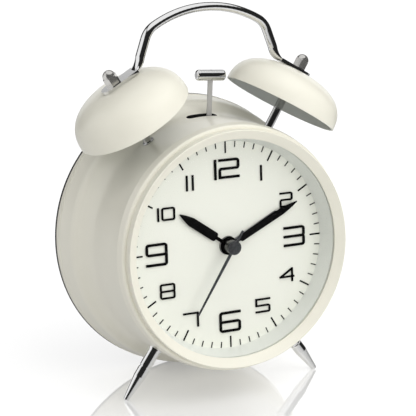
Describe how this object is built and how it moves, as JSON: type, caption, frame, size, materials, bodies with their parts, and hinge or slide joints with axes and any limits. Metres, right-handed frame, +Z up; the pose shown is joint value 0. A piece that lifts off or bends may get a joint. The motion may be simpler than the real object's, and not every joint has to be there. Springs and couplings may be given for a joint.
{
  "type": "twin bell alarm clock",
  "caption": "Round drum alarm clock with twin bells on top, a striking hammer between them, a wire carrying handle, analogue dial with alarm hand, and two splayed legs.",
  "frame": {"origin": "centre of the footprint box on the surface that the clock stands on", "axes": "+Z up, -Y towards the viewer of the dial, +X to the right of that viewer; the dial leans back by 5 degrees"},
  "size_m": [0.119, 0.0712, 0.1623],
  "materials": {
    "ivory": "satin ivory stove paint",
    "ivory_trim": "satin ivory",
    "chrome": "polished",
    "steel": "plain",
    "brass": "plain",
    "black_plastic": "fine grain",
    "white_plastic": "moulded",
    "dial_paint": "matt off-white",
    "black_paint": "satin black",
    "grey_paint": "satin grey",
    "surround": "satin grey",
    "lens": "clear",
    "rubber": "matt",
    "cell": "plain wrap",
    "board": "coated",
    "copper": "enamelled wire"
  },
  "bodies": {
    "clock": {"case_shell": "ivory", "front_bezel": "ivory", "lens": "lens", "dial_surround": "surround", "dial_plate": "dial_paint", "minute_marks": "black_paint", "hour_numerals": "black_paint", "rear_ring": "ivory", "rear_cover": "black_plastic", "cover_screws": "steel", "battery_cells": "cell", "battery_contacts": "steel", "chassis": "black_plastic", "bell_right": "ivory", "bell_left": "ivory", "bell_posts": "chrome", "post_nuts": "steel", "post_washers": "steel", "cap_nuts": "chrome", "handle": "chrome", "legs": "chrome", "leg_collars": "chrome", "leg_nuts": "steel", "hammer_pivot": "steel", "crank_arbor": "steel", "hammer_motor": "steel", "movement_front": "black_plastic", "movement_rear": "black_plastic", "step_stator": "steel", "step_coil": "copper", "circuit_board": "board", "quartz_crystal": "steel", "alarm_switch_body": "black_plastic"},
    "second": {"seconds_wheel": "white_plastic", "second_hand": "grey_paint"},
    "minute": {"minute_wheel": "white_plastic", "minute_hand": "black_paint"},
    "hour": {"hour_wheel": "white_plastic", "hour_hand": "black_paint"},
    "time_setting": {"motion_wheel": "white_plastic", "time_set_knob": "black_plastic"},
    "third": {"third_wheel": "white_plastic"},
    "step": {"step_wheel": "white_plastic"},
    "step_rotor": {"step_rotor": "white_plastic"},
    "alarm": {"alarm_wheel": "white_plastic", "alarm_hand": "grey_paint"},
    "alarm_setting": {"alarm_arbor": "white_plastic", "alarm_set_knob": "black_plastic"},
    "hammer": {"hammer_arm": "chrome", "hammer_head": "chrome"},
    "crank": {"crank_gear": "white_plastic"},
    "motor_rotor": {"motor_pinion": "brass"},
    "switch": {"alarm_switch": "white_plastic"},
    "door": {"battery_door": "black_plastic"}
  },
  "joints": [
    {"name": "second_spin", "type": "hinge", "parent": "clock", "child": "second", "pos_m": [0, -0.01917, 0.06322], "axis": [0, 0.9962, -0.0872], "continuous": true},
    {"name": "minute_spin", "type": "hinge", "parent": "clock", "child": "minute", "pos_m": [0, -0.01917, 0.06322], "axis": [0, 0.9962, -0.0872], "continuous": true},
    {"name": "hour_spin", "type": "hinge", "parent": "clock", "child": "hour", "pos_m": [0, -0.01917, 0.06322], "axis": [0, 0.9962, -0.0872], "continuous": true},
    {"name": "time_set_spin", "type": "hinge", "parent": "clock", "child": "time_setting", "pos_m": [-0.01039, -0.01865, 0.0692], "axis": [0, 0.9962, -0.0872], "continuous": true},
    {"name": "third_spin", "type": "hinge", "parent": "clock", "child": "third", "pos_m": [0, -0.02015, 0.05207], "axis": [0, 0.9962, -0.0872], "continuous": true},
    {"name": "step_wheel_spin", "type": "hinge", "parent": "clock", "child": "step", "pos_m": [0.00788, -0.01957, 0.05869], "axis": [0, 0.9962, -0.0872], "continuous": true},
    {"name": "step_rotor_spin", "type": "hinge", "parent": "clock", "child": "step_rotor", "pos_m": [0.01193, -0.01977, 0.05636], "axis": [0, 0.9962, -0.0872], "continuous": true},
    {"name": "alarm_spin", "type": "hinge", "parent": "clock", "child": "alarm", "pos_m": [0, -0.01917, 0.06322], "axis": [0, 0.9962, -0.0872], "continuous": true},
    {"name": "alarm_set_spin", "type": "hinge", "parent": "clock", "child": "alarm_setting", "pos_m": [0.01039, -0.01865, 0.0692], "axis": [0, 0.9962, -0.0872], "continuous": true},
    {"name": "hammer_swing", "type": "hinge", "parent": "clock", "child": "hammer", "pos_m": [0.0021, 0.00456, 0.10271], "axis": [0, 0.9962, -0.0872], "range_deg": [-19, 2.5]},
    {"name": "crank_spin", "type": "hinge", "parent": "clock", "child": "crank", "pos_m": [0.0021, -0.0163, 0.0961], "axis": [0, 0.9962, -0.0872], "continuous": true},
    {"name": "motor_spin", "type": "hinge", "parent": "clock", "child": "motor_rotor", "pos_m": [0.00998, -0.01617, 0.09748], "axis": [0, 0.9962, -0.0872], "continuous": true},
    {"name": "alarm_switch_slide", "type": "slide", "parent": "clock", "child": "switch", "axis": [1, 0, 0], "range_m": [0, 0.004]},
    {"name": "battery_door_lift", "type": "slide", "parent": "clock", "child": "door", "axis": [0, 0.9962, -0.0872], "range_m": [0, 0.025]}
  ],
  "couplings": [
    {"joint": "minute_spin", "follows": "second_spin", "ratio": 0.016667},
    {"joint": "hour_spin", "follows": "second_spin", "ratio": 0.0013889},
    {"joint": "time_set_spin", "follows": "second_spin", "ratio": -0.0055556},
    {"joint": "third_spin", "follows": "second_spin", "ratio": -0.1},
    {"joint": "step_wheel_spin", "follows": "second_spin", "ratio": -6},
    {"joint": "step_rotor_spin", "follows": "second_spin", "ratio": 30},
    {"joint": "alarm_set_spin", "follows": "alarm_spin", "ratio": -3},
    {"joint": "motor_spin", "follows": "crank_spin", "ratio": -3}
  ]
}
